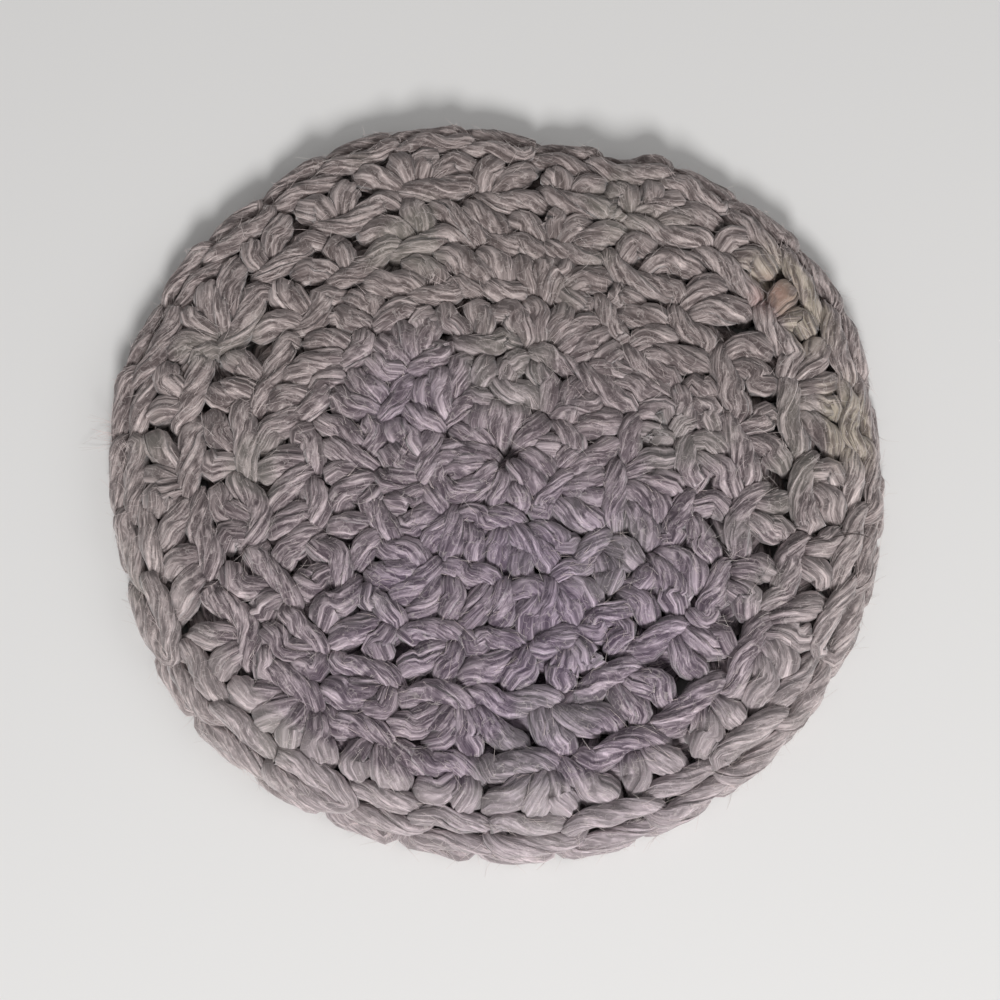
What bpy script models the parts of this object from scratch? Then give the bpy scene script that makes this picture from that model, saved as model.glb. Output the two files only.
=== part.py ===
# Crochet scrubber: a flat round of single crochet in thick soft cotton yarn,
# worked outwards from a closed ring in the middle, right side up.
# Units are metres, +Z is up, and the disc lies on Z = 0 with its middle on the Z axis.

import math
import random

import bpy
import bmesh
from mathutils import Vector

# Driving dimensions
ROUND_RISE = 0.0068          # how much each round of stitches adds to the radius
RING_RADIUS = 0.0006         # the closed ring that the first round is worked into
YARN_DIAMETER = 0.0025       # the yarn where it puffs up between two loops
YARN_NECK = 0.0013           # the yarn where a loop pinches it
LEG_SPREAD = 0.0037          # from the middle of the front legs to that of the back legs
CHAIN_WIDTH = 0.0025         # between the two strands of a stitch's top chain
CHAIN_DROP = 0.0016          # how much lower the chain's back strand lies
RIM_BULGE = 0.0015           # how far the last round's back bars stand beyond its chain
WEB_THICKNESS = 0.0016       # the felted middle layer that carries the stitches
GAP_DIAMETER = 0.0019        # the gap under each chain, where the next stitch goes through
PRESSED_FLAT = 0.0008        # how deep the lowest yarn is pressed flat where the disc rests
HAND_SWAY = 0.00035          # how far a hand-made stitch strays from its true place

STITCHES = (7, 13, 20, 21, 23, 31)               # stitches in each round, middle to rim
FIRST_ANGLE = (85.0, 69.8, 74.5, 74.6, 74.8, 69.8)   # degrees, where each round starts

# The hand-made outline: waves round the rim (count, height in metres, turn in degrees)
OUTLINE_WAVES = ((2, 0.00029, -73.0), (3, 0.00030, 35.0), (4, 0.00028, 35.0),
                 (5, 0.00018, 25.0), (6, 0.00030, -19.0))
SEAM_ANGLE = 63.0            # degrees, where the last round ends beside its first stitch
SEAM_STEP = 0.0018           # how much lower the first stitches of the round are
SEAM_FADE = 0.12             # share of a turn in which the rim climbs back to its full height

# Fineness of the surface
GRAIN = 0.00055              # voxel size in which the yarn is fused to one body
TRIANGLES = 9500            # left after thinning
GAP_SIDES = 7
SEED = 11

COLLECTION = "crochet_scrubber"
YARN_COLOR = (0.352, 0.316, 0.309, 1.0)

ROUNDS = len(STITCHES)
TOP_RADIUS = RING_RADIUS + ROUNDS * ROUND_RISE
NECK = YARN_NECK / YARN_DIAMETER


def clear_scene():
    for old in list(bpy.data.objects):
        bpy.data.objects.remove(old, do_unlink=True)


def new_collection(name):
    collection = bpy.data.collections.new(name)
    bpy.context.scene.collection.children.link(collection)
    return collection


def yarn_material():
    material = bpy.data.materials.new("cotton_yarn")
    material.use_nodes = True
    shader = material.node_tree.nodes["Principled BSDF"]
    shader.inputs["Base Color"].default_value = YARN_COLOR
    shader.inputs["Roughness"].default_value = 0.92
    shader.inputs["Metallic"].default_value = 0.0
    material.diffuse_color = YARN_COLOR
    return material


def seam_drop(angle):
    """How far the rim lies in at this angle, because each round is a step up from its start."""
    past = (angle - math.radians(SEAM_ANGLE)) % math.tau / math.tau
    if past > SEAM_FADE:
        return 0.0
    return SEAM_STEP * (1.0 - (past / SEAM_FADE) ** 3)


def outline_factor(angle):
    """How much wider than a true circle the disc is at this angle, at its rim."""
    wave = sum(height * math.cos(count * (angle - math.radians(turn)))
               for count, height, turn in OUTLINE_WAVES)
    return (wave - seam_drop(angle)) / TOP_RADIUS


def place(angle, radius, height):
    """A point of the disc; the outline's waves fade out towards the middle."""
    share = (radius / TOP_RADIUS) ** 2
    r = radius * (1.0 + outline_factor(angle) * share)
    return Vector((r * math.cos(angle), r * math.sin(angle), height))


def step_of(level):
    return math.tau / STITCHES[level]


def base_radius(level):
    """Radius of the holes that this round's stitches are worked into."""
    return RING_RADIUS + level * ROUND_RISE


def top_radius(level):
    return base_radius(level + 1)


def hole_angle(level, index):
    """Angle of the hole under this round's chain stitch number index."""
    return math.radians(FIRST_ANGLE[level]) + index * step_of(level)


def stitch_angle(level, index):
    """Angle of the stitch's post, midway between two holes of its own round."""
    return hole_angle(level, index) - 0.5 * step_of(level)


def worked_into(level, index):
    """Angle of the hole that a stitch grows from: the nearest one of the round below."""
    top = stitch_angle(level, index)
    if level == 0:
        return top
    below = level - 1
    number = round((top - hole_angle(below, 0)) / step_of(below))
    return hole_angle(below, number)


def blend(a, b, share):
    return a + (b - a) * share


class Yarn:
    """Collects runs of yarn as splines of one curve object."""

    def __init__(self, name):
        self.curve = bpy.data.curves.new(name, "CURVE")
        self.curve.dimensions = "3D"
        self.curve.bevel_depth = YARN_DIAMETER / 2
        self.curve.bevel_resolution = 2
        self.curve.resolution_u = 3
        self.curve.use_fill_caps = True
        self.name = name

    def run(self, points):
        """points are (angle, radius, height, thickness), thickness as a share of the yarn."""
        spline = self.curve.splines.new("NURBS")
        spline.points.add(len(points) - 1)
        for target, (angle, radius, height, thickness) in zip(spline.points, points):
            target.co = (*place(angle, radius, height), 1.0)
            target.radius = thickness
        spline.order_u = 4
        spline.use_endpoint_u = True

    def mesh(self):
        """The runs as one mesh with welded caps."""
        carrier = bpy.data.objects.new(self.name, self.curve)
        bpy.context.scene.collection.objects.link(carrier)
        evaluated = carrier.evaluated_get(bpy.context.evaluated_depsgraph_get())
        mesh = bpy.data.meshes.new_from_object(evaluated)
        bpy.data.objects.remove(carrier)
        bm = bmesh.new()
        bm.from_mesh(mesh)
        bmesh.ops.remove_doubles(bm, verts=bm.verts, dist=0.00001)
        bmesh.ops.recalc_face_normals(bm, faces=bm.faces)
        bm.to_mesh(mesh)
        bm.free()
        return mesh


def front_legs(yarn, level, index, sway):
    """The V that shows on the right side: both legs rise from one hole and spread."""
    step = step_of(level)
    low = base_radius(level)
    high = top_radius(level)
    base = worked_into(level, index)
    top = stitch_angle(level, index) + sway[0] / high
    crown = LEG_SPREAD / 2 + sway[1]
    over_chain = 0.19 * ROUND_RISE
    for side in (-1, 1):
        foot = base + side * 0.05 * step
        knee = base + side * 0.14 * step
        belly = blend(base, top, 0.6) + side * 0.22 * step
        shoulder = top + side * 0.26 * step
        yarn.run((
            (foot, low + GAP_DIAMETER / 2, -0.3 * crown, NECK),
            (knee, low + GAP_DIAMETER / 2 + over_chain, 0.85 * crown, 0.9),
            (belly, blend(low, high, 0.62), 1.15 * crown, 1.12),
            (shoulder, high - 0.12 * ROUND_RISE, 0.8 * crown, 0.95),
            (shoulder, high + 0.02 * ROUND_RISE, -0.3 * crown, NECK),
        ))


def back_legs(yarn, level, index, sway):
    """The upturned V on the wrong side, which carries the yarn from hole to hole."""
    low = base_radius(level)
    high = top_radius(level)
    here = worked_into(level, index)
    after = worked_into(level, index + 1)
    if abs(after - here) < 0.1 * step_of(level):
        after = here + 0.2 * step_of(level)
    top = stitch_angle(level, index) + sway[0] / high
    depth = -LEG_SPREAD / 2
    start = low + GAP_DIAMETER / 2
    yarn.run((
        (here, start, 0.3 * depth, NECK),
        (here, start + 0.15 * ROUND_RISE, depth, 0.85),
        (blend(here, top, 0.7), blend(low, high, 0.6), 1.1 * depth, 1.0),
        (top, high - 0.1 * ROUND_RISE, 0.7 * depth, 0.9),
        (blend(top, after, 0.3), blend(low, high, 0.6), 1.1 * depth, 1.0),
        (after, start + 0.15 * ROUND_RISE, depth, 0.85),
        (after, start, 0.3 * depth, NECK),
    ))


def top_chain(yarn, level, index, sway):
    """The chain stitch that ends a stitch: it opens ahead, and the next one starts in it."""
    step = step_of(level)
    last = level == ROUNDS - 1
    middle = top_radius(level) + (0.0 if last else 0.24 * ROUND_RISE) + sway[2]
    lean = CHAIN_WIDTH / 2 * (1.0 if last else 0.35)
    front = CHAIN_DROP / 2 + (0.3 * CHAIN_DROP if last else 0.0)
    back = front - CHAIN_DROP
    start = stitch_angle(level, index) - 0.35 * step
    for side, height in ((-1, front), (1, back)):
        yarn.run((
            (start - 0.05 * step, middle, blend(front, back, 0.5), NECK),
            (start + 0.15 * step, middle + side * 0.55 * lean, height + 0.2 * CHAIN_DROP, 0.95),
            (start + 0.60 * step, middle + side * 1.30 * lean, height + 0.2 * CHAIN_DROP, 1.08),
            (start + 0.95 * step, middle + side * 1.35 * lean, height - 0.2 * CHAIN_DROP, 0.8),
            (start + 1.10 * step, middle + side * 0.6 * lean, back - 0.2 * CHAIN_DROP, NECK),
        ))


def back_bar(yarn, level, index, sway):
    """The short bar across the wrong side, at the rim the outermost strand of all."""
    step = step_of(level)
    high = top_radius(level)
    last = level == ROUNDS - 1
    top = stitch_angle(level, index) + 0.1 * step
    out = high + (CHAIN_WIDTH / 2 + RIM_BULGE if last else -0.16 * ROUND_RISE)
    depth = -LEG_SPREAD / 2 * (0.45 if last else 1.15)
    tuck = high - 0.05 * ROUND_RISE
    yarn.run((
        (top - 0.50 * step, tuck if not last else blend(tuck, out, 0.75), 0.4 * depth, NECK),
        (top - 0.25 * step, out + sway[2], depth, 0.95),
        (top + 0.25 * step, out + sway[2], depth, 0.95),
        (top + 0.50 * step, tuck if not last else blend(tuck, out, 0.75), 0.4 * depth, NECK),
    ))


def middle_web():
    """A thin turned plate inside the stitches, so that they hold together as one body."""
    profile = bpy.data.meshes.new("web_profile")
    half = WEB_THICKNESS / 2
    rim = TOP_RADIUS + RIM_BULGE
    bm = bmesh.new()
    corners = ((0.0, half), (rim - half, half), (rim, 0.0), (rim - half, -half), (0.0, -half))
    verts = [bm.verts.new((x, 0.0, z)) for x, z in corners]
    for a, b in zip(verts, verts[1:]):
        bm.edges.new((a, b))
    bm.to_mesh(profile)
    bm.free()
    carrier = bpy.data.objects.new("web_profile", profile)
    bpy.context.scene.collection.objects.link(carrier)
    screw = carrier.modifiers.new("turn", "SCREW")
    screw.axis = "Z"
    screw.angle = math.tau
    screw.steps = 96
    screw.render_steps = 96
    screw.use_merge_vertices = True
    screw.merge_threshold = 0.00001
    evaluated = carrier.evaluated_get(bpy.context.evaluated_depsgraph_get())
    web = bpy.data.meshes.new_from_object(evaluated)
    bpy.data.objects.remove(carrier)
    for vert in web.vertices:
        x, y, z = vert.co
        vert.co = place(math.atan2(y, x), math.hypot(x, y), z)
    return web


def gap_cutter(collection, floor):
    """Slim prisms, one under each chain of the inner rounds."""
    bm = bmesh.new()
    for level in range(ROUNDS - 1):
        for index in range(STITCHES[level]):
            spot = place(hole_angle(level, index), top_radius(level), floor)
            prism = bmesh.ops.create_cone(bm, segments=GAP_SIDES, cap_ends=True,
                                          radius1=GAP_DIAMETER / 2, radius2=GAP_DIAMETER / 2,
                                          depth=8 * YARN_DIAMETER)
            bmesh.ops.translate(bm, verts=prism["verts"], vec=spot)
    mesh = bpy.data.meshes.new("gap_cutter")
    bm.to_mesh(mesh)
    bm.free()
    return add_cutter("gap_cutter", mesh, collection)


def floor_cutter(collection, floor):
    """A block under the disc whose top presses the lowest yarn flat."""
    bm = bmesh.new()
    size = 3 * TOP_RADIUS
    depth = 4 * YARN_DIAMETER
    bmesh.ops.create_cube(bm, size=1.0)
    bmesh.ops.scale(bm, vec=(size, size, depth), verts=bm.verts)
    bmesh.ops.translate(bm, vec=(0.0, 0.0, floor - depth / 2), verts=bm.verts)
    mesh = bpy.data.meshes.new("floor_cutter")
    bm.to_mesh(mesh)
    bm.free()
    return add_cutter("floor_cutter", mesh, collection)


def add_cutter(name, mesh, collection):
    cutter = bpy.data.objects.new(name, mesh)
    cutter.hide_render = True
    cutter.display_type = "WIRE"
    collection.objects.link(cutter)
    return cutter


def cut(piece, cutter, name):
    boolean = piece.modifiers.new(name, "BOOLEAN")
    boolean.operation = "DIFFERENCE"
    boolean.solver = "EXACT"
    boolean.object = cutter


def triangles_of(piece):
    evaluated = piece.evaluated_get(bpy.context.evaluated_depsgraph_get())
    return sum(len(face.vertices) - 2 for face in evaluated.data.polygons)


def fused(meshes, collection):
    """One object of all the yarn, fused by a remesh."""
    bm = bmesh.new()
    for mesh in meshes:
        bm.from_mesh(mesh)
        bpy.data.meshes.remove(mesh)
    mesh = bpy.data.meshes.new("crochet_disc")
    bm.to_mesh(mesh)
    bm.free()
    piece = bpy.data.objects.new("crochet_disc", mesh)
    collection.objects.link(piece)
    even_out(piece, "fuse")
    return piece


def even_out(piece, name):
    remesh = piece.modifiers.new(name, "REMESH")
    remesh.mode = "VOXEL"
    remesh.voxel_size = GRAIN


def thinned(piece):
    """Keeps only as many triangles as the stitches need."""
    even_out(piece, "smooth_gaps")
    share = min(1.0, TRIANGLES / triangles_of(piece))
    thin = piece.modifiers.new("thin", "DECIMATE")
    thin.ratio = share


def stand_on_origin(piece, others):
    """Moves the disc and its cutters together, so that it lies centred on the origin."""
    evaluated = piece.evaluated_get(bpy.context.evaluated_depsgraph_get())
    corners = [Vector(corner) for corner in evaluated.bound_box]
    low = Vector([min(c[axis] for c in corners) for axis in range(3)])
    high = Vector([max(c[axis] for c in corners) for axis in range(3)])
    origin = bpy.data.objects.new("disc_origin", None)
    bpy.context.scene.collection.objects.link(origin)
    for child in (piece, *others):
        child.parent = origin
    origin.location = (-(low.x + high.x) / 2, -(low.y + high.y) / 2, -low.z)


def build():
    clear_scene()
    parts = new_collection(COLLECTION)
    cutters = new_collection("cutters")
    rng = random.Random(SEED)
    yarn = Yarn("stitches")
    for level in range(ROUNDS):
        for index in range(STITCHES[level]):
            sway = [rng.uniform(-HAND_SWAY, HAND_SWAY) for _ in range(3)]
            front_legs(yarn, level, index, sway)
            back_legs(yarn, level, index, sway)
            top_chain(yarn, level, index, sway)
            back_bar(yarn, level, index, sway)
    disc = fused((yarn.mesh(), middle_web()), parts)
    floor = -(LEG_SPREAD / 2 + YARN_DIAMETER / 2 - PRESSED_FLAT)
    gaps = gap_cutter(cutters, floor)
    table = floor_cutter(cutters, floor)
    cut(disc, gaps, "open_gaps")
    thinned(disc)
    cut(disc, table, "press_flat")
    stand_on_origin(disc, (gaps, table))
    disc.data.materials.append(yarn_material())
    return disc


build()
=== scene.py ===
# A crochet scrubber: rounds of single crochet in thick soft cotton yarn.
# Every round is laid stitch by stitch as one running yarn, which then settles against itself.
# Lengths in the dictionaries are millimetres, angles are degrees; the meshes are made in metres.
import math
import time

import bpy
import bmesh
import numpy as np
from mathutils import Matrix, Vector, kdtree


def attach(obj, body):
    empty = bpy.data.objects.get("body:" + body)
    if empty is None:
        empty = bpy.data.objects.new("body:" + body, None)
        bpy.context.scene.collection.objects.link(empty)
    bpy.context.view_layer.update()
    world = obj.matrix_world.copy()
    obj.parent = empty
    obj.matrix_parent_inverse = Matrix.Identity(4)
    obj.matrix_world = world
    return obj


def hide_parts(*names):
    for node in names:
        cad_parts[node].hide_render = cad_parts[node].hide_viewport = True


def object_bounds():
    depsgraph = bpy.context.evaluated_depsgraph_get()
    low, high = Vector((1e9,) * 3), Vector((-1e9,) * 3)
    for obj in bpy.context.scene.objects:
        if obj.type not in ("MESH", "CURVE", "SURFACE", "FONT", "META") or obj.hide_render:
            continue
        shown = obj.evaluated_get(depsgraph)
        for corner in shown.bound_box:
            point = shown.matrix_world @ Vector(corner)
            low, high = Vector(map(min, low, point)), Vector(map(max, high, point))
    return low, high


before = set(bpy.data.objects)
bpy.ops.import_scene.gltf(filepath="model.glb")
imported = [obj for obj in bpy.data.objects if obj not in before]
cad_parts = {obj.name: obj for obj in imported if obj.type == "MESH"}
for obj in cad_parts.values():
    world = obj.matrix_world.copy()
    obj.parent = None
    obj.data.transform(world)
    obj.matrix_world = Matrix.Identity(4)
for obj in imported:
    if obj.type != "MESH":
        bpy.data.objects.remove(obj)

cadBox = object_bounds()
startTime = time.time()
mm = 0.001


def report(stage):
    print(f"{stage} ({time.time() - startTime:.1f} s)")


# How the disc is worked

crochet = {
    "stitches": (7, 13, 20, 21, 23, 31),            # in each round, middle to rim
    "firstHole": (85.0, 69.8, 74.5, 74.6, 74.8, 69.8),   # where each round's holes start
    "ring": 1.2,            # radius of the hole in the middle, where the first round starts
    "firstRise": 6.2,
    "rise": 6.85,           # height of a round of stitches
    "lastRise": 6.15,
    "seam": 63.0,           # where each round ends and the next one starts
    "seamStep": 1.8,        # how much lower the rim is just past the seam
    "seamFade": 0.12,       # share of a turn that the rim takes to climb again
    "waves": ((2, 0.24, -24.0), (3, 0.30, 35.0), (4, 0.28, 35.0), (5, 0.18, 25.0), (6, 0.30, -19.0)),
    "sway": 0.45,           # how far a stitch strays from its true place
    "lean": 0.90,           # how far its top leans to one side
    "tilt": 0.55,           # how much higher one of its legs stands than the other
    "puff": 0.10,           # how unevenly thick the stitches are
    "drift": 0.85,          # and how far whole stretches of the work stray
}

yarn = {
    "radius": 1.25,         # where it puffs up, as it presses on its neighbours
    "loft": 1.23,           # how much wider its loose outer fibres stand
    "spacing": 0.8,         # between the points of its middle line while it settles
    "readSpacing": 0.2,     # between the points that its rings are placed by
    "drawSpacing": (0.48, 1.15),   # between the rings that draw it, in bends and in straight runs
    "bendStep": 0.42,       # the turn that a step may take, in radians
    "pitch": 21.0,          # length of one turn of its twist
    "plies": 8,             # that show round it, with a soft groove between two
    "plySides": 3,          # columns of points across a ply
    "groove": 0.11,         # depth of the grooves, as a share of the yarn's radius
    "groovePaintedShade": 0.12,     # how pale the grooves are painted, from 0 to 1: painted shade between the plies
    "plyTint": 0.62,        # and the plies
    # how far the yarn swings from its plain shape, and over how many mm
    "swell": (0.05, 6),     # in thickness
    "slip": (0.17, 4),      # of a ply, sideways, in radians
    "stray": (0.07, 2.5),   # of a ply, outwards
    "uneven": (0.02, 1.5),  # of each column of points, outwards
    "tintSwing": (0.20, 3),  # in how pale a ply is
    "midHeight": 2.85,      # of the disc's middle plane over the floor
    "lowest": 0.02,         # over the floor, where it is pressed flat
}

rounds = len(crochet["stitches"])
rng = np.random.default_rng(20)


def stepOf(level):
    return math.tau / crochet["stitches"][level]


def lowOf(level):
    if level == 0:
        return crochet["ring"]
    return crochet["ring"] + crochet["firstRise"] + (level - 1) * crochet["rise"]


def highOf(level):
    if level == rounds - 1:
        return lowOf(level) + crochet["lastRise"]
    return lowOf(level + 1)


def holeAngle(level, index):
    return math.radians(crochet["firstHole"][level]) + index * stepOf(level)


def postAngle(level, index):
    return holeAngle(level, index) - 0.5 * stepOf(level)


def footAngle(level, index):
    # a stitch grows from the nearest hole of the round below
    top = postAngle(level, index)
    if level == 0:
        return top
    number = round((top - holeAngle(level - 1, 0)) / stepOf(level - 1))
    return holeAngle(level - 1, number)


def outOfRound(angle, radius):
    # the hand-made outline and its seam step, fading out towards the middle
    turn = ((angle - math.radians(crochet["seam"])) % math.tau) / math.tau
    change = sum(size * math.cos(count * (angle - math.radians(at))) for count, size, at in crochet["waves"])
    fade = crochet["seamFade"]
    if turn < fade:
        change -= crochet["seamStep"] * (1.0 - (turn / fade) ** 3)
    rim = highOf(rounds - 1)
    return radius + change * (radius / rim) ** 2


# hand work drifts: a few long waves across the disc, (direction, length in mm, phase)
driftWaves = [(rng.uniform(0, math.tau), rng.uniform(11, 26), rng.uniform(0, math.tau)) for _ in range(12)]


def drift(x, y):
    moves = [0.0, 0.0]
    for number, (direction, length, phase) in enumerate(driftWaves):
        across = x * math.cos(direction) + y * math.sin(direction)
        moves[number % 2] += math.sin(math.tau * across / length + phase)
    rim = highOf(rounds - 1)
    share = crochet["drift"] * max(0.0, 1.0 - (math.hypot(x, y) / rim) ** 4) / math.sqrt(len(driftWaves) / 4)
    return moves[0] * share, moves[1] * share


def spot(angle, radius, height):
    radius = outOfRound(angle, radius)
    x, y = radius * math.cos(angle), radius * math.sin(angle)
    moveX, moveY = drift(x, y)
    return (x + moveX, y + moveY, height)


# where the top of a stitch lies, out from the top of its post and up from the middle plane
innerTop = {"front": (1.35, 1.5), "back": (2.1, -0.7), "fold": (1.05, 0.2), "neck": (0.8, 0.0),
            "shoulder": (-0.55, 0.5), "behind": (-0.9, -1.6), "bar": (-0.9, -2.4), "tuck": (-0.7, -0.4)}
# the last round's chain has nothing worked into it, so it lies rolled over towards the right side
rimTop = {"front": (0.1, 1.7), "back": (2.5, 0.4), "fold": (1.4, 0.2), "neck": (1.3, 0.6),
          "shoulder": (-0.3, 0.5), "behind": (2.7, -1.4), "bar": (3.1, -1.5), "tuck": (-0.2, -0.6)}


def stitchPoints(level, index):
    # one single crochet, as the points its yarn runs through: (x, y, z, thickness)
    low, high = lowOf(level), highOf(level)
    foot, post = footAngle(level, index), postAngle(level, index)
    after = foot + 0.6 * stepOf(level)
    if index + 1 < crochet["stitches"][level]:
        after = footAngle(level, index + 1)
    width = stepOf(level) * high
    swayR, swayZ = rng.uniform(-1, 1, 2) * crochet["sway"]
    lean, tilt, puff = rng.uniform(-1, 1, 3) * (crochet["lean"], crochet["tilt"], crochet["puff"])
    post = post + lean * (0.5 if level == rounds - 1 else 1.0) / high
    rise = high - low
    top = rimTop if level == rounds - 1 else innerTop
    twin = 0.0              # two stitches that share a hole stand side by side in it
    if level > 0:
        before = footAngle(level, index - 1)
        if abs(before - foot) < 1e-6:
            twin = 0.7
        elif abs(after - foot) < 1e-6:
            twin = -0.7

    def at(angle, side, radius, height, thick):
        return (*spot(angle + side / max(radius, 1.2), radius, height), thick)

    def crest(key, side, out, up, thick):
        reach, height = top[key]
        return at(post, side * width, high + reach + out, height + up, thick)

    def between(share):
        return foot + (post - foot) * share

    slim = 0.80 if level == rounds - 1 else 1.0      # the rim's chain is worked tighter
    barHalf = 0.50 if level == rounds - 1 else 0.25  # half the bar behind the post, in stitch widths
    tight = 0.6 if level else 0.42                   # thickness where the hole pinches the yarn
    squeeze = 0.35 if level == 0 else 1.0            # the first round shares one small hole
    crown = 2.45 + swayZ                             # height of the legs over the middle plane

    def leg(side):
        # from the hole up the front and over the post's shoulder to the back
        return [
            at(foot, (twin + side * 0.35) * squeeze, low - 0.1, -1.7, tight),    # deep in the hole
            at(foot, (twin + side * 0.65) * squeeze, low + 0.35, -0.1, tight),   # where it comes through
            at(foot, (twin + side * 1.15) * squeeze, low + 1.6, 1.55, 0.86),
            at(between(0.6), side * 0.21 * width, low + 0.56 * rise, crown + side * tilt, 1.18 + puff),
            at(post, side * 0.28 * width, high - 1.3, 1.6, 0.99),
            crest("shoulder", side * 0.32, 0.0, 0.0, 0.62),
            crest("behind", side * barHalf, 0.0, 0.0, 0.8),
        ]

    up = [
        at(between(0.5), -0.5, low + 0.5 * rise, -2.5, 1.0),
        at(post, -0.7, high - 2.3, -1.6, 0.75),
        crest("tuck", -0.1, 0.0, 0.1, 0.55),
        crest("neck", -0.30, 0.0, 0.2, 0.55),
    ]

    def strand(key, thicken):
        # one side of the chain, from its neck to its fold
        reach, height = top[key]
        neckReach, neckHeight = top["neck"]
        foldReach, foldHeight = top["fold"]
        out = swayR + reach
        if key == "front":
            height += swayZ
        return [
            at(post, -0.38 * width, high + 0.4 * neckReach + 0.6 * out,
               0.5 * (neckHeight + height), 0.7 * slim),
            at(post, -0.15 * width, high + out, height, 0.92 * slim),
            at(post, 0.25 * width, high + out, height + 0.1, thicken * slim),
            at(post, 0.58 * width, high + 0.9 * out + 0.1 * foldReach,
               0.85 * height + 0.15 * foldHeight, 0.92 * slim),
            at(post, 0.80 * width, high + 0.6 * out + 0.4 * foldReach,
               0.5 * (height + foldHeight), 0.75 * slim),
        ]

    chain = strand("front", 1.05) + [crest("fold", 0.92, 0.0, 0.0, 0.6)] + strand("back", 1.05)[::-1]
    down = [
        crest("neck", -0.30, 0.0, -0.4, 0.55),
        crest("tuck", 0.1, 0.0, -0.2, 0.55),
        at(post, 0.7, high - 2.3, -1.6, 0.75),
        at(post + (after - post) * 0.4, 0.5, low + 0.5 * rise, -2.5, 1.0),
    ]
    return leg(-1) + [crest("bar", 0.0, 0.0, 0.0, 0.95 * slim)] + leg(1)[::-1] + up + chain + down


# the yarn's start: a loop that lies over the first round
startLoop = ((-0.2, 0.2, -1.6, 0.6), (-1.6, 0.3, 1.6, 0.8), (-4.2, 0.1, 2.3, 1.0), (-6.9, -0.9, 1.8, 0.9),
             (-7.2, -2.9, 1.4, 0.8), (-5.0, -3.9, 2.2, 1.0), (-2.2, -2.6, 2.4, 0.9), (-0.4, -0.6, 0.2, 0.6))


def layYarn():
    points, levels = list(startLoop), [0] * len(startLoop)
    for level in range(rounds):
        for index in range(crochet["stitches"][level]):
            run = stitchPoints(level, index)
            points += run
            levels += [level] * len(run)
    return np.array(points), np.array(levels, float)


def smoothLine(points, tags, spacing):
    # a Catmull-Rom line through the points, then read at even spacing
    padded = np.vstack([2 * points[0] - points[1], points, 2 * points[-1] - points[-2]])
    p0, p1, p2, p3 = padded[:-3], padded[1:-2], padded[2:-1], padded[3:]
    fine = []
    fineTags = []
    for t in np.linspace(0, 1, 8, endpoint=False):
        fine.append(0.5 * (2 * p1 + (p2 - p0) * t + (2 * p0 - 5 * p1 + 4 * p2 - p3) * t ** 2
                           + (3 * p1 - p0 - 3 * p2 + p3) * t ** 3))
        fineTags.append(tags[:-1] * (1 - t) + tags[1:] * t)
    line = np.stack(fine, axis=1).reshape(-1, points.shape[1])
    lineTags = np.stack(fineTags, axis=1).reshape(-1)
    length = np.concatenate([[0], np.cumsum(np.linalg.norm(np.diff(line[:, :3], axis=0), axis=1))])
    count = int(length[-1] / spacing)
    marks = np.linspace(0, length[-1], count)
    columns = [np.interp(marks, length, line[:, k]) for k in range(line.shape[1])]
    return np.stack(columns, axis=1), np.interp(marks, length, lineTags), length[-1]


gaps = {
    "inset": 1.2,           # from the foot of a stitch towards the middle
    "radius": (0.05, 0.30),   # from the tightest gap to the widest
    "open": -25.0,          # the side where the work is looser
    "clear": (              # gaps that are pulled open: direction, distance from the middle, radius
        (-4.3, 32.6, 1.20), (-37.6, 33.7, 0.80), (13.0, 33.5, 1.25), (-70.1, 33.6, 0.85),
        (-161.0, 34.7, 0.75), (-53.4, 33.7, 0.80), (-20.0, 33.0, 0.60), (29.2, 33.8, 1.05),
        (-146.2, 34.5, 0.75), (168.4, 34.8, 0.60), (152.2, 34.8, 0.70), (-176.2, 34.4, 0.65),
        (137.3, 34.4, 0.70), (-130.5, 35.0, 0.60), (-116.2, 34.8, 0.55), (-100.9, 34.5, 0.55),
        (60.7, 35.5, 0.55), (-16.8, 25.5, 1.05), (21.1, 26.8, 0.95), (54.8, 29.0, 0.85),
        (2.3, 24.8, 0.80), (-62.8, 26.9, 0.60), (129.2, 27.8, 0.65), (145.5, 28.0, 0.65),
        (-136.8, 28.4, 0.60), (-110.9, 27.8, 0.55), (180.0, 27.4, 0.45), (-108.3, 21.4, 1.00),
        (58.9, 22.5, 0.95), (-53.3, 20.8, 0.90), (162.7, 20.7, 0.80), (-87.8, 20.6, 0.65),
        (-142.2, 21.7, 0.60), (-39.9, 12.2, 0.90), (74.8, 14.8, 0.75), (-151.1, 13.5, 0.75),
        (-71.5, 13.6, 0.65), (48.1, 12.5, 0.55), (-127.2, 7.6, 0.50), (95.9, 8.5, 0.50)),
}


def gapSpots():
    # the gaps that show beside the feet of the stitches: (x, y, radius)
    spots = []
    for level in range(1, rounds):
        for index in range(crochet["stitches"][level - 1]):
            angle = holeAngle(level - 1, index)
            x, y, _ = spot(angle, lowOf(level) - gaps["inset"], 0.0)
            # looser towards the open side, and by chance
            loose = 0.35 + 0.3 * math.cos(angle - math.radians(gaps["open"])) + 0.35 * rng.uniform()
            narrow, wide = gaps["radius"]
            spots.append((x, y, narrow + (wide - narrow) * min(max(loose, 0.0), 1.0)))
    spots = np.array(spots)
    for angle, radius, size in gaps["clear"]:
        x, y = radius * math.cos(math.radians(angle)), radius * math.sin(math.radians(angle))
        nearest = np.argmin(np.hypot(spots[:, 0] - x, spots[:, 1] - y))
        spots[nearest] = (x, y, size)
    return spots


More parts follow.
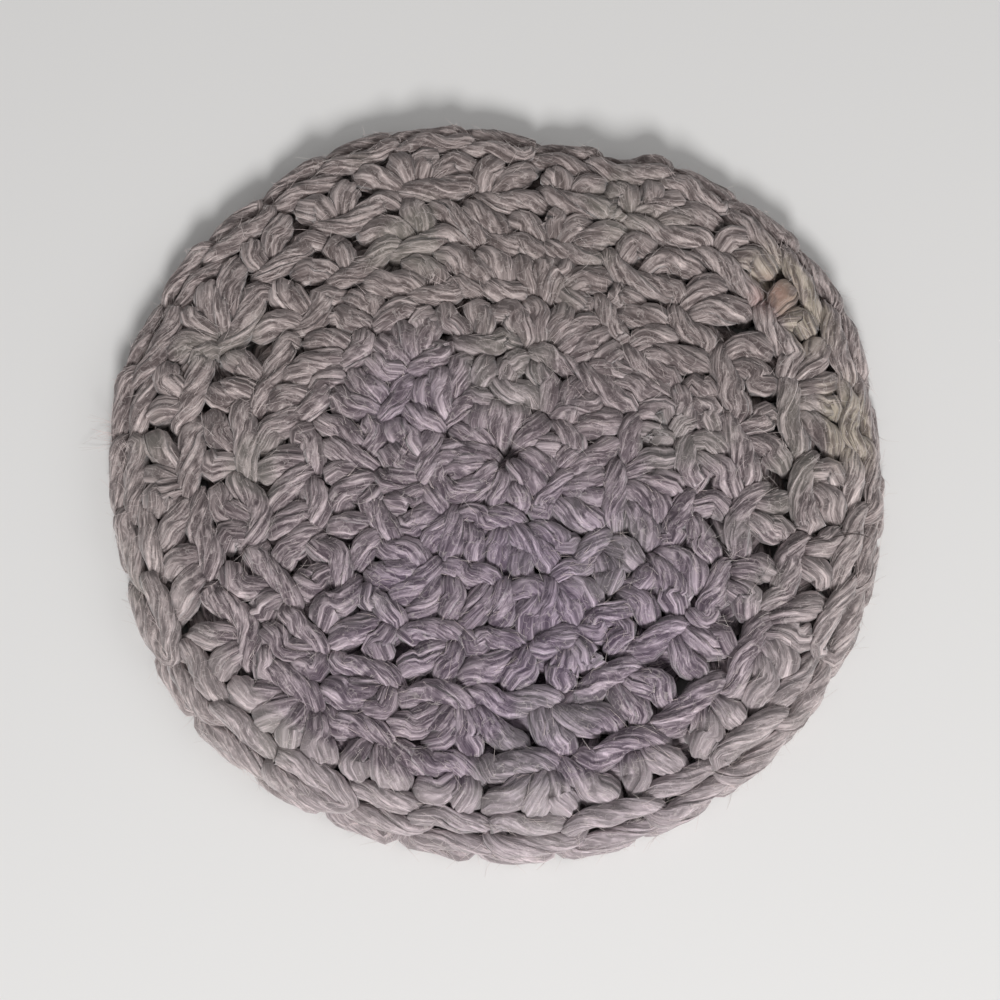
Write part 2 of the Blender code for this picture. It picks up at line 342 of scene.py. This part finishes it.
settling = {
    "passes": 110,
    "quickPasses": 30,
    "renew": 10,            # passes between two searches for neighbours
    "reach": 3.2,           # how far neighbours are looked for
    "gapReach": 2.6,        # and how far round a gap
    "skip": 5,              # points next along the yarn that don't count as neighbours
    "most": 0.5,            # that one pass may mend of an overlap
    "crowd": 0.35,          # share of its neighbours that a point shares its moves among
    "hold": 0.03,           # pull back to where each point was laid
    "straighten": 0.20,
    "stretch": 0.7,         # how much of a wrong length one step mends
    "push": 0.30,
    "open": 0.15,           # how hard the yarn keeps out of the gaps
    "half": 2.80,           # half the thickness that the disc is pressed to
    "proud": 0.35,          # how far its legs and loops may stand out on top of that
}


def nearPairs(line, reach):
    # pairs of points that lie close in space but apart along the yarn
    tree = kdtree.KDTree(len(line))
    for number, point in enumerate(line):
        tree.insert(point, number)
    tree.balance()
    first, second = [], []
    for number, point in enumerate(line):
        for _, other, _ in tree.find_range(point, reach):
            if other > number + settling["skip"]:
                first.append(number)
                second.append(other)
    return np.array(first), np.array(second)


def settle(line, radii):
    # the yarn pushes itself apart where it touches, keeps its length and straightens a little
    laid = line.copy()
    rest = np.linalg.norm(np.diff(line, axis=0), axis=1)
    count = len(line)
    spots = gapSpots()
    for step in range(settling["passes"]):
        if step % settling["renew"] == 0:
            a, b = nearPairs(line, settling["reach"])
            apart = np.linalg.norm(line[:, None, :2] - spots[None, :, :2], axis=2)
            beside, hole = np.nonzero(apart < settling["gapReach"])
        gap = line[b] - line[a]
        far = np.linalg.norm(gap, axis=1) + 1e-9
        over = np.clip(radii[a] + radii[b] - far, 0, settling["most"])
        shove = gap / far[:, None] * (over * settling["push"] * 0.5)[:, None]
        move = np.zeros_like(line)
        hits = np.bincount(a, over > 0, count) + np.bincount(b, over > 0, count)
        for axis in range(3):
            move[:, axis] += np.bincount(b, shove[:, axis], count) - np.bincount(a, shove[:, axis], count)
        move /= np.maximum(1.0, hits * settling["crowd"])[:, None]
        line = line + move
        away = line[beside, :2] - spots[hole, :2]
        far = np.linalg.norm(away, axis=1) + 1e-9
        short = np.clip(spots[hole, 2] + radii[beside] - far, 0, settling["most"]) * settling["open"]
        for axis in range(2):
            line[:, axis] += np.bincount(beside, away[:, axis] / far * short, count)
        middle = 0.5 * (line[:-2] + line[2:])
        line[1:-1] += (middle - line[1:-1]) * settling["straighten"]
        for _ in range(2):
            along = line[1:] - line[:-1]
            size = np.linalg.norm(along, axis=1) + 1e-9
            fix = along / size[:, None] * ((size - rest) * 0.5)[:, None] * settling["stretch"]
            line[:-1] += fix
            line[1:] -= fix
        line += (laid - line) * settling["hold"]
        limit = settling["half"] - radii
        line[:, 2] = np.clip(line[:, 2], -limit, limit + settling["proud"])
    return line


# Strands of the yarn

def smoothNoise(marks, width):
    # soft random swings of about unit size, width millimetres long, read at the marks
    steps = np.arange(-3 * width, 3 * width + 1)
    bell = np.exp(-0.5 * (steps / width) ** 2)
    bell /= np.sqrt((bell ** 2).sum())
    whole = int(marks[-1]) + 2
    noise = np.convolve(rng.normal(size=whole + len(steps) - 1), bell, "valid")
    return np.interp(marks, np.arange(whole), noise)


def swings(marks, key):
    size, width = yarn[key]
    return size * smoothNoise(marks, width)


def drawMarks(line, length):
    # places along the yarn for the points of its strands, closer together in bends
    step = np.gradient(length)
    heading = np.gradient(line, axis=0) / step[:, None]
    heading /= np.linalg.norm(heading, axis=1)[:, None] + 1e-9
    bend = np.linalg.norm(np.gradient(heading, axis=0), axis=1) / step
    bend = np.convolve(bend, np.ones(5) / 5, "same")
    finest, coarsest = yarn["drawSpacing"]
    spacing = np.clip(yarn["bendStep"] / (bend + 1e-6), finest, coarsest)
    number = np.concatenate([[0], np.cumsum(np.diff(length) / spacing[1:])])
    return np.interp(np.arange(int(number[-1])), number, length)


def drawnLine(settled, thick, tags):
    # the settled yarn as a smooth line with points where its strands need them
    columns = np.column_stack([settled, thick])
    fine, fineTags, _ = smoothLine(columns, tags, yarn["readSpacing"])
    length = np.concatenate([[0], np.cumsum(np.linalg.norm(np.diff(fine[:, :3], axis=0), axis=1))])
    marks = drawMarks(fine[:, :3], length)
    columns = np.column_stack([fine, fineTags])
    read = np.column_stack([np.interp(marks, length, columns[:, k]) for k in range(columns.shape[1])])
    return read[:, :3], read[:, 3], read[:, 4], marks


def carriedFrame(line):
    # a normal and its partner at each point, carried along the yarn without twist
    tangent = np.gradient(line, axis=0)
    tangent /= np.linalg.norm(tangent, axis=1)[:, None] + 1e-9
    normal = np.zeros_like(line)
    current = np.cross(tangent[0], (0.0, 0.0, 1.0))
    for number in range(len(line)):
        current = current - tangent[number] * current.dot(tangent[number])
        current /= np.linalg.norm(current)
        normal[number] = current
    return normal, np.cross(tangent, normal)


def yarnSurface(line, thick, marks):
    # rings of points round the yarn's middle line, with a soft groove between two plies, and how pale each
    # point is painted: the ply's own tone, with painted shade in the grooves
    columns = yarn["plies"] * yarn["plySides"]
    normal, partner = carriedFrame(line)
    loft = yarn["radius"] * yarn["loft"] * thick * (1 + swings(marks, "swell"))
    rings = np.zeros((len(line), columns, 3))
    tints = np.zeros((len(line), columns))
    for column in range(columns):
        side = column % yarn["plySides"]
        if side == 0:
            slip, stand = swings(marks, "slip"), swings(marks, "stray")
            pale = yarn["plyTint"] + swings(marks, "tintSwing")
        turn = math.tau * (column / columns + marks / yarn["pitch"]) + slip
        lie = loft * (1 + (stand if side else -yarn["groove"]) + swings(marks, "uneven"))
        outward = np.cos(turn)[:, None] * normal + np.sin(turn)[:, None] * partner
        rings[:, column] = line + lie[:, None] * outward
        # painted shade in the grooves between plies; the plies keep their own paleness
        tints[:, column] = np.clip(pale, 0, 1) if side else yarn["groovePaintedShade"]
    return rings, tints


def yarnPiece(name, rings, tints, line, marks, first, last, shade):
    # one stretch of the yarn: a round tube whose rings take the shape of its strands
    columns = rings.shape[1]
    curve = bpy.data.curves.new(name, "CURVE")
    curve.dimensions = "3D"
    curve.bevel_depth = mm
    curve.bevel_resolution = columns // 2 - 2
    spline = curve.splines.new("POLY")
    spline.points.add(last - first - 1)
    spots = np.ones((last - first, 4))
    spots[:, :3] = line[first:last] * mm
    spline.points.foreach_set("co", spots.ravel())
    mesh = meshOf(name, curve)
    shape = rings[first:last].reshape(-1, 3)
    mesh.vertices.foreach_set("co", (shape * mm).astype(np.float32).ravel())
    addFibre(mesh, marks[first:last], tints[first:last])
    bm = bmesh.new()
    bm.from_mesh(mesh)
    ends = [edge for edge in bm.edges if edge.is_boundary]
    bmesh.ops.holes_fill(bm, edges=ends, sides=columns)
    bmesh.ops.recalc_face_normals(bm, faces=bm.faces)
    bm.to_mesh(mesh)
    bm.free()
    mesh.shade_smooth()
    return dressPiece(name, mesh, shade)


def meshOf(name, curve):
    carrier = bpy.data.objects.new(name, curve)
    bpy.context.scene.collection.objects.link(carrier)
    mesh = bpy.data.meshes.new_from_object(carrier.evaluated_get(bpy.context.evaluated_depsgraph_get()))
    bpy.data.objects.remove(carrier)
    return mesh


def thinTubes(name, radius, sides):
    # a curve for hairs, which tubeMesh turns into closed thin tubes
    curve = bpy.data.curves.new(name, "CURVE")
    curve.dimensions = "3D"
    curve.bevel_depth = radius * mm
    curve.bevel_resolution = sides
    curve.use_fill_caps = True
    return curve


def addLine(curve, spots, radii=None):
    # one hair, given as rows of x, y, z in mm and a weight
    spots[:, :3] *= mm
    spline = curve.splines.new("POLY")
    spline.points.add(len(spots) - 1)
    spline.points.foreach_set("co", spots.ravel())
    if radii is not None:
        spline.points.foreach_set("radius", radii)


def tubeMesh(name, curve):
    mesh = meshOf(name, curve)
    bm = bmesh.new()
    bm.from_mesh(mesh)
    bmesh.ops.remove_doubles(bm, verts=bm.verts, dist=0.0005 * mm)
    bmesh.ops.recalc_face_normals(bm, faces=bm.faces)
    bm.to_mesh(mesh)
    bm.free()
    mesh.shade_smooth()
    return mesh


def dressPiece(name, mesh, shade):
    mesh.materials.clear()
    mesh.materials.append(shade)
    piece = bpy.data.objects.new(name, mesh)
    bpy.context.scene.collection.objects.link(piece)
    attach(piece, "root")
    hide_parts("crochet_disc")
    return piece


def addFibre(mesh, marks, tints):
    # how far along the yarn each point lies, on which side of it, and how pale its ply is there, with
    # painted shade in the grooves
    columns = tints.shape[1]
    side = np.tile(np.arange(columns), len(marks)) * math.tau / columns
    fibre = np.column_stack([np.repeat(marks, columns), np.cos(side), np.sin(side)]).astype(np.float32)
    layer = mesh.attributes.new("fibre", "FLOAT_VECTOR", "POINT")
    layer.data.foreach_set("vector", fibre.ravel())
    layer = mesh.attributes.new("tint", "FLOAT", "POINT")
    layer.data.foreach_set("value", tints.ravel().astype(np.float32))


# Shader helpers

class Flow:
    # one value or colour on its way through a material
    def __init__(self, nodes, socket):
        self.nodes, self.socket = nodes, socket

    def maths(self, operation, first, second=None):
        inputs = {0: first} if second is None else {0: first, 1: second}
        return self.nodes.add("ShaderNodeMath", {"operation": operation}, inputs)

    def __add__(self, other):
        return self.maths("ADD", self, other)

    def __radd__(self, other):
        return self.maths("ADD", other, self)

    def __sub__(self, other):
        return self.maths("SUBTRACT", self, other)

    def __rsub__(self, other):
        return self.maths("SUBTRACT", other, self)

    def __mul__(self, other):
        return self.maths("MULTIPLY", self, other)

    def __rmul__(self, other):
        return self.maths("MULTIPLY", other, self)

    def __abs__(self):
        return self.maths("ABSOLUTE", self)

    def clamp(self):
        return self.maths("MINIMUM", self.maths("MAXIMUM", self, 0.0), 1.0)


class Nodes:
    # a material's nodes, added one at a time with their settings and inputs
    def __init__(self, name):
        self.material = bpy.data.materials.new(name)
        self.material.use_nodes = True
        self.tree = self.material.node_tree
        self.shader = self.tree.nodes["Principled BSDF"]

    def feed(self, socket, value):
        if isinstance(value, Flow):
            self.tree.links.new(value.socket, socket)
        else:
            socket.default_value = value

    def add(self, kind, settings=None, inputs=None, output=0):
        node = self.tree.nodes.new(kind)
        for key, value in (settings or {}).items():
            setattr(node, key, value)
        for key, value in (inputs or {}).items():
            self.feed(node.inputs[key], value)
        return Flow(self, node.outputs[output])

    def mix(self, share, first, second):
        return self.add("ShaderNodeMix", {"data_type": "RGBA"}, {0: share, 6: first, 7: second}, 2)

    def place(self):
        return self.add("ShaderNodeTexCoord", output=3)

    def noise(self, vector, scale, detail=2.0, rough=0.5, warp=0.0):
        inputs = {"Vector": vector, "Scale": scale, "Detail": detail, "Roughness": rough, "Distortion": warp}
        return self.add("ShaderNodeTexNoise", {}, inputs)

    def lines(self, value, width):
        # thin wandering lines, where a noise passes its middle
        return 1.0 - self.ease(abs(value - 0.5), 0.0, width)

    def stretch(self, vector, factors):
        return self.add("ShaderNodeVectorMath", {"operation": "MULTIPLY"}, {0: vector, 1: factors})

    def ease(self, value, low, high):
        # 0 below low, 1 above high, soft between
        settings = {"interpolation_type": "SMOOTHSTEP"}
        return self.add("ShaderNodeMapRange", settings, {0: value, 1: low, 2: high})

    def patch(self, center, inner, outer):
        # 1 within inner of a spot on the disc, fading to 0 at outer
        far = self.add("ShaderNodeVectorMath", {"operation": "DISTANCE"}, {0: self.place(), 1: center}, 1)
        return 1.0 - self.ease(far, inner, outer)

    def ring(self, inner, outer):
        # 1 between two radii of the disc
        flat = self.stretch(self.place(), (1.0, 1.0, 0.0))
        far = self.add("ShaderNodeVectorMath", {"operation": "LENGTH"}, {0: flat}, 1)
        return self.ease(far, inner - 0.001, inner) - self.ease(far, outer, outer + 0.001)


def srgb(red, green, blue):
    def linear(value):
        value /= 255
        return value / 12.92 if value <= 0.04045 else ((value + 0.055) / 1.055) ** 2.4
    return (linear(red), linear(green), linear(blue), 1.0)


# The yarn's colour: pale and dark fibres spun together, the tints that use has left, painted shade towards
# the top and in the grooves between plies, and painted light on the lower rim

heather = {
    "pale": srgb(227, 211, 208),
    "dark": srgb(80, 69, 69),
    "hair": srgb(214, 205, 201),
    "lilac": srgb(208, 188, 216),
    "lilacDark": srgb(76, 61, 86),
    # the colour of the painted shade towards the top
    "paintedTopShade": srgb(106, 95, 88),
    "moss": srgb(142, 146, 132),
    "cream": srgb(204, 194, 160),
    "rust": srgb(140, 88, 80),
    "darkHair": srgb(46, 36, 32),
}

streaks = {
    # along and across the yarn, detail, warp, half the range it eases over, share of the tone
    "flecks": (0.42, 2.9, 1.5, 0.8, 0.12, 0.42),
    "slow": (0.10, 1.1, 2.0, 0.0, 0.15, 0.10),
    "thin": (0.70, 5.6, 1.5, 0.8, 0.14, 0.22),
    "fine": (1.0, 10.5, 1.0, 0.6, 0.14, 0.10),
    "strays": (0.60, 2.6, 1.5, 1.4, 0.035, 0.18),    # thin lines, this wide instead of a range
    "rough": 0.55,
    "plyShare": 0.28,
    "shade": 0.13,          # taken off the sum
    "contrast": 0.80,       # how far the tone is squared
}

stainsAndPaintedLight = {
    # how strong each is, then its spots: place, full within, gone beyond (metres), strength
    "lilac": (0.66, ((0.001, -0.021, 0.003), 0.008, 0.045, 1.0),
              ((-0.0105, 0.0085, 0.003), 0.002, 0.013, 0.6)),
    # painted shade towards the top of the disc
    "paintedTopShade": (0.20, ((0.0, 0.040, 0.003), 0.010, 0.060, 1.0)),
    # painted light on the lower rim
    "paintedRimLight": (0.22, ((0.0, -0.045, 0.003), 0.020, 0.075, 1.0)),
    "cream": (0.33, ((0.0345, 0.0205, 0.004), 0.003, 0.010, 1.0),
              ((0.0405, 0.0050, 0.004), 0.002, 0.008, 1.0)),
    "rust": (0.55, ((0.0328, 0.0208, 0.005), 0.0008, 0.0042, 1.0)),
    "moss": (0.20,),
    "mossRange": (0.58, 0.72),     # where in its clouds the green tinge starts and is full
    "curls": (0.30,),
    "curlWidth": 0.022,
    "rim": (0.0375, 0.0600),       # between these radii the lower rim is painted paler, as painted light
    "innerRim": (0.0385, 0.0430),  # and here the cream shows
}

clouds = {
    # scale, detail, roughness, warp
    "lilac": (60.0, 2.0, 0.5, 0.0),
    "moss": (95.0, 1.0, 0.5, 0.0),
    "curls": (850.0, 1.0, 0.5, 0.6),
    "wool": (3200.0, 2.0, 0.7, 0.0),
}

relief = {
    "flecks": 0.38,         # shares of its height
    "thin": 0.32,
    "wool": 0.30,
    "strength": 0.75,
    "depth": 0.00013,       # metres
}

cotton = {
    "Roughness": 0.9,
    "Specular IOR Level": 0.25,
    "Subsurface Weight": 0.30,
    "Subsurface Radius": (1.0, 0.9, 0.85),
    "Subsurface Scale": 0.0010,
    "Sheen Weight": 0.35,
    "Sheen Roughness": 0.5,
    "Sheen Tint": (0.95, 0.92, 0.92, 1.0),
}


def yarnMaterial():
    nodes = Nodes("cotton_yarn")
    fibre = nodes.add("ShaderNodeAttribute", {"attribute_name": "fibre"}, output=1)

    def along(run, across, detail, warp):
        return nodes.noise(nodes.stretch(fibre, (run, across, across)), 1.0, detail, streaks["rough"], warp)

    def cloud(name):
        return nodes.noise(nodes.place(), *clouds[name])

    def streak(name):
        run, across, detail, warp, half, _ = streaks[name]
        return nodes.ease(along(run, across, detail, warp), 0.5 - half, 0.5 + half)

    def stainOrPaintedLight(name):
        # 1 where a spot of the stain, painted light or painted shade is full, fading out to 0
        total = None
        for center, inner, outer, strength in stainsAndPaintedLight[name][1:]:
            spot = nodes.patch(center, inner, outer) * strength
            total = spot if total is None else total + spot
        return total.clamp()

    # the plies' own tone, with painted shade in the grooves between them
    ply = nodes.add("ShaderNodeAttribute", {"attribute_name": "tint"}, output=2)
    layers = {name: streak(name) for name in ("flecks", "slow", "thin", "fine")}
    layers["strays"] = nodes.lines(along(*streaks["strays"][:4]), streaks["strays"][4])
    flecks, thin = layers["flecks"], layers["thin"]
    tone = ply * streaks["plyShare"] - streaks["shade"]
    for name, value in layers.items():
        tone = tone + value * streaks[name][-1]
    tone = tone.clamp()
    tone = tone * (1.0 - streaks["contrast"] + streaks["contrast"] * tone)
    color = nodes.mix(tone, heather["dark"], heather["pale"])
    lilac = (stainOrPaintedLight("lilac") * (0.25 + 1.1 * cloud("lilac"))).clamp()
    lilacYarn = nodes.mix(tone, heather["lilacDark"], heather["lilac"])
    color = nodes.mix(lilac * stainsAndPaintedLight["lilac"][0], color, lilacYarn)
    # painted shade: darker and browner towards the top of the disc
    color = nodes.mix(stainOrPaintedLight("paintedTopShade") * stainsAndPaintedLight["paintedTopShade"][0], color, heather["paintedTopShade"])
    mossy = nodes.ease(cloud("moss"), *stainsAndPaintedLight["mossRange"])
    color = nodes.mix(mossy * stainsAndPaintedLight["moss"][0], color, heather["moss"])
    # painted light: the lower rim is mixed towards the pale hair colour
    paintedRimLight = stainOrPaintedLight("paintedRimLight") * nodes.ring(*stainsAndPaintedLight["rim"])
    color = nodes.mix(paintedRimLight * stainsAndPaintedLight["paintedRimLight"][0], color, heather["hair"])
    cream = stainOrPaintedLight("cream") * nodes.ring(*stainsAndPaintedLight["innerRim"]) * (0.25 + 0.75 * flecks)
    color = nodes.mix(cream * stainsAndPaintedLight["cream"][0], color, heather["cream"])
    rust = stainOrPaintedLight("rust") * (0.35 + 0.65 * flecks)
    color = nodes.mix(rust * stainsAndPaintedLight["rust"][0], color, heather["rust"])
    curls = nodes.lines(cloud("curls"), stainsAndPaintedLight["curlWidth"])
    color = nodes.mix(curls * stainsAndPaintedLight["curls"][0], color, heather["hair"])
    nodes.feed(nodes.shader.inputs["Base Color"], color)
    height = flecks * relief["flecks"] + thin * relief["thin"] + cloud("wool") * relief["wool"]
    bumps = {"Strength": relief["strength"], "Distance": relief["depth"], "Height": height}
    normal = nodes.add("ShaderNodeBump", {}, bumps)
    nodes.feed(nodes.shader.inputs["Normal"], normal)
    for name, value in cotton.items():
        nodes.feed(nodes.shader.inputs[name], value)
    return nodes.material


def buildYarn():
    points, levels = layYarn()
    line, tags, length = smoothLine(points, levels, yarn["spacing"])
    report(f"yarn laid, {length * mm:.2f} m")
    radii = line[:, 3] * yarn["radius"]
    settled = settle(line[:, :3], radii)
    report("yarn settled")
    drawn, thick, tags, marks = drawnLine(settled, line[:, 3], tags)
    rings, tints = yarnSurface(drawn, thick, marks)
    low, high = rings.min(axis=(0, 1)), rings.max(axis=(0, 1))
    middle = 0.5 * (np.array(cadBox[0]) + np.array(cadBox[1])) / mm
    shift = np.array([*(middle - 0.5 * (low + high))[:2], yarn["midHeight"]])
    rings, drawn = rings + shift, drawn + shift
    rings[:, :, 2] = np.maximum(rings[:, :, 2], yarn["lowest"])
    report(f"yarn from {rings.min(axis=(0, 1)).round(2)} to {rings.max(axis=(0, 1)).round(2)} mm")
    report(f"{len(marks)} rings, {2 * len(marks) * rings.shape[1]} triangles")
    shade = yarnMaterial()
    cuts = [int(np.searchsorted(tags, level - 0.5)) for level in range(rounds)] + [len(drawn)]
    names = ["middle_round", "second_round", "third_round", "fourth_round", "fifth_round", "rim_round"]
    for level, name in enumerate(names):
        first, last = cuts[level], cuts[level + 1]
        halves = 2 if level == rounds - 1 else 1
        step = (last - first) // halves
        for half in range(halves):
            start = max(first + half * step - 1, 0)
            end = last if half == halves - 1 else first + (half + 1) * step
            label = name if halves == 1 else f"{name}_{half + 1}"
            yarnPiece(label, rings, tints, drawn, marks, start, end, shade)
    report("yarn drawn")
    looseFibres(rings, drawn)
    addHair(rings)
    report("loose fibres drawn")
    return shift


fuzz = {
    "hairs": (9500, 9500),    # in each of its two pieces
    "length": (0.5, 1.9),
    "radius": 0.020,
    "tip": 0.5,             # how thin it ends
    "points": 3,
    "clouds": 300.0,        # scale of the changes in their colour
    "lift": (0.05, 0.6),    # how much it heads outwards, against along the yarn
    "stray": 0.2,           # how much its heading varies
    "curl": 0.3,
    "lowest": 0.05,         # over the floor
    "depth": 0.3,           # hairs start only this far off the middle plane, where they show
    "steep": 0.3,           # and where the yarn faces up or down at least this much
    "rim": 1.0,             # or anywhere this far past the rim's mean radius
    "halo": 0.35,           # share of the hairs on the faces that go to the rim instead
    "tuft": (-44.6, 4.8),   # where a few longer ones stand out together
    "tuftHairs": 40,
    "tuftReach": 1.3,       # from its middle to where they grow
    "tuftLength": (1.2, 2.6),
    "tuftHeading": (-1.0, 0.0, 0.1),
    "tuftStray": 0.35,
}


def looseFibres(rings, line):
    # fine hairs that have worked loose from the yarn
    nodes = Nodes("loose_cotton")
    cloudy = nodes.ease(nodes.noise(nodes.place(), fuzz["clouds"], 1.0), 0.35, 0.65)
    nodes.feed(nodes.shader.inputs["Base Color"], nodes.mix(cloudy, heather["pale"], heather["hair"]))
    nodes.feed(nodes.shader.inputs["Roughness"], 0.8)
    rim = highOf(rounds - 1) + fuzz["rim"]
    tuft = np.argwhere(np.linalg.norm(rings[:, :, :2] - fuzz["tuft"], axis=2) < fuzz["tuftReach"])
    for number, hairs in enumerate(fuzz["hairs"]):
        curve = thinTubes("hairs", fuzz["radius"], 0)
        made = 0
        while made < hairs:
            tufted = number == 0 and made < fuzz["tuftHairs"]
            ring, column = int(rng.integers(2, len(rings) - 2)), int(rng.integers(rings.shape[1]))
            if tufted:
                ring, column = tuft[int(rng.integers(len(tuft)))]
            root = rings[ring, column]
            out = root - line[ring]
            out = out / np.linalg.norm(out)
            depth = root[2] - yarn["midHeight"]
            facing = abs(depth) > fuzz["depth"] and out[2] * depth > fuzz["steep"] * abs(depth)
            if not facing and math.hypot(root[0], root[1]) < rim:
                continue
            run = rings[ring + 1, column] - rings[ring - 1, column]
            run *= rng.choice((-1, 1)) / np.linalg.norm(run)
            if facing and rng.uniform() < fuzz["halo"]:
                continue
            length = rng.uniform(0, 1) ** 2 * (fuzz["length"][1] - fuzz["length"][0]) + fuzz["length"][0]
            heading = run + rng.uniform(*fuzz["lift"]) * out + rng.normal(size=3) * fuzz["stray"]
            if tufted:
                length = rng.uniform(*fuzz["tuftLength"])
                heading = fuzz["tuftHeading"] + rng.normal(size=3) * fuzz["tuftStray"]
            curl = rng.normal(size=3) * fuzz["curl"]
            spots = np.ones((fuzz["points"], 4))
            for step, share in enumerate(np.linspace(0, 1, fuzz["points"])):
                spots[step, :3] = root + length * (share * heading + share ** 2 * curl)
            spots[:, 2] = np.maximum(spots[:, 2], fuzz["lowest"])
            addLine(curve, spots, np.linspace(1.0, fuzz["tip"], fuzz["points"]))
            made += 1
        dressPiece(f"loose_fibres_{number + 1}", tubeMesh("hairs", curve), nodes.material)


# A dark hair that lies across the rim
caughtHair = {
    "ends": ((37.8, -9.0), (42.0, -8.7)),
    "radius": 0.06,
    "bow": 0.25,            # how far it bends sideways
    "feel": 0.8,            # how far round each of its points it feels for the yarn that it lies on
    "points": 14,
}


def addHair(rings):
    nodes = Nodes("dark_hair")
    nodes.feed(nodes.shader.inputs["Base Color"], heather["darkHair"])
    nodes.feed(nodes.shader.inputs["Roughness"], 0.5)
    spots = np.ones((caughtHair["points"], 4))
    start, end = np.array(caughtHair["ends"])
    for step, share in enumerate(np.linspace(0, 1, caughtHair["points"])):
        x, y = start + (end - start) * share + (0.0, caughtHair["bow"] * math.sin(math.pi * share))
        near = np.linalg.norm(rings[:, :, :2] - (x, y), axis=2) < caughtHair["feel"]
        spots[step, :3] = x, y, rings[near][:, 2].max() + caughtHair["radius"]
    spots[1:-1, 2] = 0.25 * spots[:-2, 2] + 0.5 * spots[1:-1, 2] + 0.25 * spots[2:, 2]
    curve = thinTubes("caught_hair", caughtHair["radius"], 1)
    addLine(curve, spots)
    dressPiece("caught_hair", tubeMesh("caught_hair", curve), nodes.material)


# The camera stands where the photograph was taken from; the shift frames the disc as there

def addCamera(shift):
    view = {"elevation": 71.6, "distance": 0.216, "lens": 67.2, "shiftX": 0.002, "shiftY": -0.0345}
    camera = bpy.data.cameras.new("camera")
    camera.lens = view["lens"]
    camera.sensor_width = 36.0
    camera.shift_x, camera.shift_y = view["shiftX"], view["shiftY"]
    camera.clip_start = 0.01
    holder = bpy.data.objects.new("camera", camera)
    tilt = math.radians(view["elevation"])
    aim = Vector(shift) * mm
    holder.location = aim + Vector((0.0, -math.cos(tilt), math.sin(tilt))) * view["distance"]
    holder.rotation_euler = (aim - holder.location).to_track_quat("-Z", "Y").to_euler()
    bpy.context.scene.collection.objects.link(holder)
    bpy.context.scene.camera = holder


studio = {
    "floor": (0.80, 0.79, 0.78, 1.0),
    "world": 0.31,
    "key": {"at": (0.04, -0.57, 0.45), "size": 0.20, "power": 4.4},
    "fill": {"at": (0.6, -0.1, 0.5), "size": 0.6, "power": 0.8},
}


def addStudio():
    bm = bmesh.new()
    bmesh.ops.create_grid(bm, x_segments=1, y_segments=1, size=3.0)
    mesh = bpy.data.meshes.new("floor")
    bm.to_mesh(mesh)
    bm.free()
    floor = bpy.data.objects.new("floor", mesh)
    bpy.context.scene.collection.objects.link(floor)
    nodes = Nodes("floor_paint")
    nodes.feed(nodes.shader.inputs["Base Color"], studio["floor"])
    nodes.feed(nodes.shader.inputs["Roughness"], 0.9)
    mesh.materials.append(nodes.material)
    for name in ("key", "fill"):
        setting = studio[name]
        lamp = bpy.data.lights.new(name, "AREA")
        lamp.shape = "DISK"
        lamp.size = setting["size"]
        lamp.energy = setting["power"]
        holder = bpy.data.objects.new(name, lamp)
        holder.location = setting["at"]
        holder.rotation_euler = (-Vector(setting["at"])).to_track_quat("-Z", "Y").to_euler()
        bpy.context.scene.collection.objects.link(holder)
    world = bpy.data.worlds.new("studio")
    world.use_nodes = True
    background = world.node_tree.nodes["Background"]
    background.inputs["Color"].default_value = (1.0, 1.0, 1.0, 1.0)
    background.inputs["Strength"].default_value = studio["world"]
    bpy.context.scene.world = world


addCamera(buildYarn())
addStudio()
bpy.context.scene.view_settings.view_transform = "Standard"
report("studio set")
